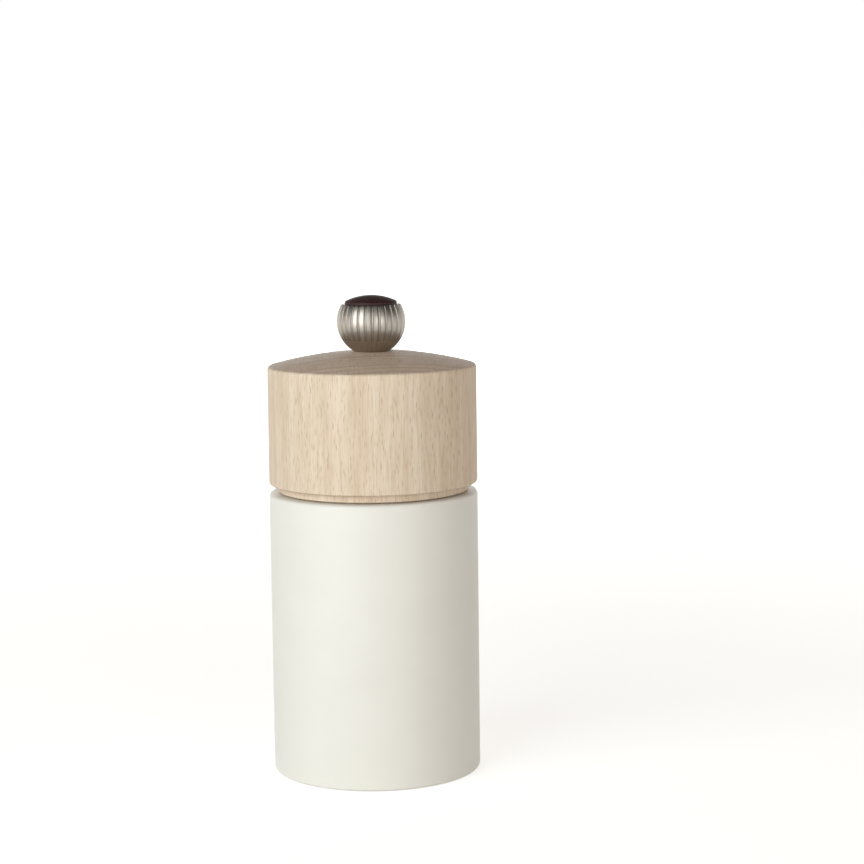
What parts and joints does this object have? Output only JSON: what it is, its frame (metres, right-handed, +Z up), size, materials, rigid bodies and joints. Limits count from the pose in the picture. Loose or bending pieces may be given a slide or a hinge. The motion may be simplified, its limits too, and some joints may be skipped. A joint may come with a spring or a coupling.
{
  "type": "salt mill",
  "caption": "Cylindrical hand-turned salt mill: painted wooden body, bare beech head that turns on a collar, fluted steel ball knob with a black cap, and a steel cone grinder in the foot.",
  "frame": {"origin": "centre of the mill's round base, on the table", "axes": "+Z up along the mill's axis; -Y towards the picture's camera, +X to its right"},
  "size_m": [0.0524, 0.0524, 0.12],
  "materials": {
    "painted_wood": "satin cream-white lacquer",
    "beech": "natural, matt clear lacquer",
    "grinder_steel": "machined",
    "sheet_steel": "pressed stainless sheet",
    "fastener_steel": "plain",
    "spring_steel": "drawn wire",
    "shaft_steel": "drawn bar",
    "knob_steel": "satin, fluted",
    "cap_plastic": "satin near-black"
  },
  "bodies": {
    "body": {"body": "painted_wood", "grinding_ring": "grinder_steel", "bridge": "sheet_steel", "bridge_rivets": "fastener_steel", "strap": "sheet_steel", "strap_screws": "fastener_steel"},
    "turning_set": {"spring_washer": "sheet_steel", "spring": "spring_steel"},
    "spindle": {"shaft": "shaft_steel", "grinding_cone": "grinder_steel", "cone_washer": "sheet_steel", "retaining_clip": "spring_steel"},
    "head": {"head": "beech", "drive_plate": "sheet_steel", "drive_plate_screws": "fastener_steel"},
    "knob": {"knob": "knob_steel", "knob_cap": "cap_plastic"}
  },
  "joints": [
    {"name": "head_turn", "type": "hinge", "parent": "body", "child": "turning_set", "pos_m": [0, 0, 0.0305], "axis": [0, 0, 1], "continuous": true},
    {"name": "grind_adjust", "type": "slide", "parent": "turning_set", "child": "spindle", "axis": [0, 0, 1], "range_m": [-0.0016, 0.0006], "deforming": ["spring"]},
    {"name": "head_lift", "type": "slide", "parent": "turning_set", "child": "head", "axis": [0, 0, 1], "range_m": [0, 0.06]},
    {"name": "knob_turn", "type": "hinge", "parent": "head", "child": "knob", "pos_m": [0, 0, 0.1134], "axis": [0, 0, 1], "range_deg": [-270, 720]}
  ],
  "couplings": [
    {"joint": "knob_turn", "follows": "grind_adjust", "rad_per_m": -7854}
  ]
}
